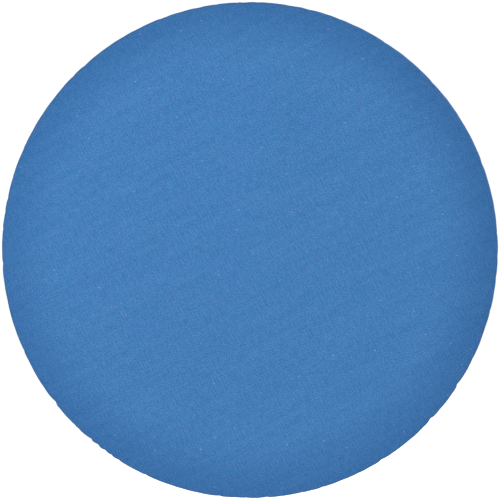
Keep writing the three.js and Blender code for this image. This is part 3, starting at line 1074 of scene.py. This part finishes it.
def knob_outline():
    """The stud half: a cap in front of the strap, a post through it, and a waisted knob behind."""
    base, top = STRAP_BACK + FLANGE, STRAP_BACK + 0.0015
    dish = [(0.0044, top), (0.0041, top - 0.0003), (0.0032, top - 0.0003)]
    waist = [(0.0025, top + 0.0002), (0.0021, top + 0.0007), (0.0022, top + 0.0011)]
    head = [(0.0026, top + 0.0015), (0.0025, top + 0.0018), (0.0019, top + 0.0021)]
    crown = [(0.0008, top + 0.0022), (0, top + 0.0022)]
    return cap + post + rolled_edge(STUD_RADIUS, base, top) + dish + waist + head + crown


def socket_outline():
    """The socket half: the same cap and post, and a ring with a hole that takes the knob."""
    base, top = STRAP_BACK + FLANGE, STRAP_BACK + 0.0023
    lip = [(0.0046, top - 0.0001), (0.0040, top - 0.0004), (0.0034, top - 0.0003), (0.0030, top - 0.0005)]
    hole = [(0.0029, top - 0.0013), (0.0015, top - 0.0014), (0, top - 0.0014)]
    return cap + post + rolled_edge(STUD_RADIUS, base, top) + lip + hole


fitting("stud_fitting", knob_outline(), STUD_AT, "strap_stud")
fitting("socket_fitting", socket_outline(), SOCKET_AT, "strap_socket")


# ---------------------------------------------------------------- care label
label_size = LABEL_HIGH - LABEL_LOW
label_middle = (LABEL_LOW + LABEL_HIGH) / 2 + Vector((0, 0.0008, 0))
label = cloth_patch(
    "woven_label", label_size.x, label_size.z, label_middle, HERE, LABEL,
    thick=0.0004, curl=0.002,
)
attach(label, "lower_half")
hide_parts("care_label")
LABEL_INSET = 0.002
label_back = label_middle.y + 0.0003
label_places = []
for x in (LABEL_LOW.x + LABEL_INSET, LABEL_HIGH.x - LABEL_INSET):
    low, high = LABEL_LOW.z + LABEL_INSET, LABEL_HIGH.z - LABEL_INSET
    label_places += line_row((x, label_back, low), (x, label_back, high), 0.0028)
label_stitches = stitches("label_stitches", label_places, SHORT_STITCH, 0.0004)
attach(label_stitches, "lower_half")


# ---------------------------------------------------------------- floor, light and camera
FLOOR_AT = -RADIUS - 0.25
FLOOR_REACH = 60
FLOOR_GLOW = 0.80  # brings the floor up to white in the picture
ROOM_LIGHT = 0.31
ROOM_SEEN = 1.05
LENS = 85
SENSOR = 36
DISC_SHARE = 0.9926  # of the frame's width


def floor():
    mesh = bpy.data.meshes.new("floor")
    corners = [(x * FLOOR_REACH, y * FLOOR_REACH, FLOOR_AT) for x, y in ((-1, -1), (1, -1), (1, 1), (-1, 1))]
    mesh.from_pydata(corners, [], [(0, 1, 2, 3)])
    obj = bpy.data.objects.new("floor", mesh)
    bpy.context.scene.collection.objects.link(obj)
    s = Shader("pale_floor", roughness=0.95, Specular_IOR_Level=0.1)
    s.surface.inputs["Base Color"].default_value = (0.70, 0.70, 0.70, 1)
    s.surface.inputs["Emission Color"].default_value = WHITE
    seen = s.node("LightPath").outputs["Is Camera Ray"]
    s.feed(s.surface.inputs["Emission Strength"], s.math("MULTIPLY", seen, FLOOR_GLOW))
    obj.data.materials.append(s.material)


def softbox(name, place, size, power):
    """A round soft light that faces the middle of the panel."""
    data = bpy.data.lights.new(name, "AREA")
    data.shape = "DISK"
    data.size = size
    data.energy = power
    lamp = bpy.data.objects.new(name, data)
    bpy.context.scene.collection.objects.link(lamp)
    lamp.location = place
    lamp.rotation_euler = (-Vector(place)).to_track_quat("-Z", "Y").to_euler()


def surroundings():
    """A room that lights the panel softly and looks white."""
    world = bpy.data.worlds.new("white_room")
    world.use_nodes = True
    background = world.node_tree.nodes["Background"]
    background.inputs["Color"].default_value = WHITE
    path = world.node_tree.nodes.new("ShaderNodeLightPath")
    level = world.node_tree.nodes.new("ShaderNodeMapRange")
    level.inputs["To Min"].default_value = ROOM_LIGHT
    level.inputs["To Max"].default_value = ROOM_SEEN
    world.node_tree.links.new(path.outputs["Is Camera Ray"], level.inputs["Value"])
    world.node_tree.links.new(level.outputs["Result"], background.inputs["Strength"])
    bpy.context.scene.world = world


def camera():
    """Square on to the face, from far enough for the disc to fill its share of the frame."""
    data = bpy.data.cameras.new("camera")
    data.lens = LENS
    data.sensor_width = SENSOR
    cam = bpy.data.objects.new("camera", data)
    bpy.context.scene.collection.objects.link(cam)
    distance = RADIUS / (DISC_SHARE * SENSOR / 2 / LENS)
    cam.location = (0, RIM_WIDEST - distance, 0)
    cam.rotation_euler = (math.radians(90), 0, 0)
    bpy.context.scene.camera = cam


floor()
surroundings()
softbox("key", (-1.39, -3.4, 0.52), size=1.4, power=70)
softbox("fill", (1.5, -2.9, 1.8), size=1.2, power=25)
softbox("back_light", (2.5, 1.9, 1.9), size=1.2, power=105)
camera()
bpy.context.scene.view_settings.view_transform = "Standard"
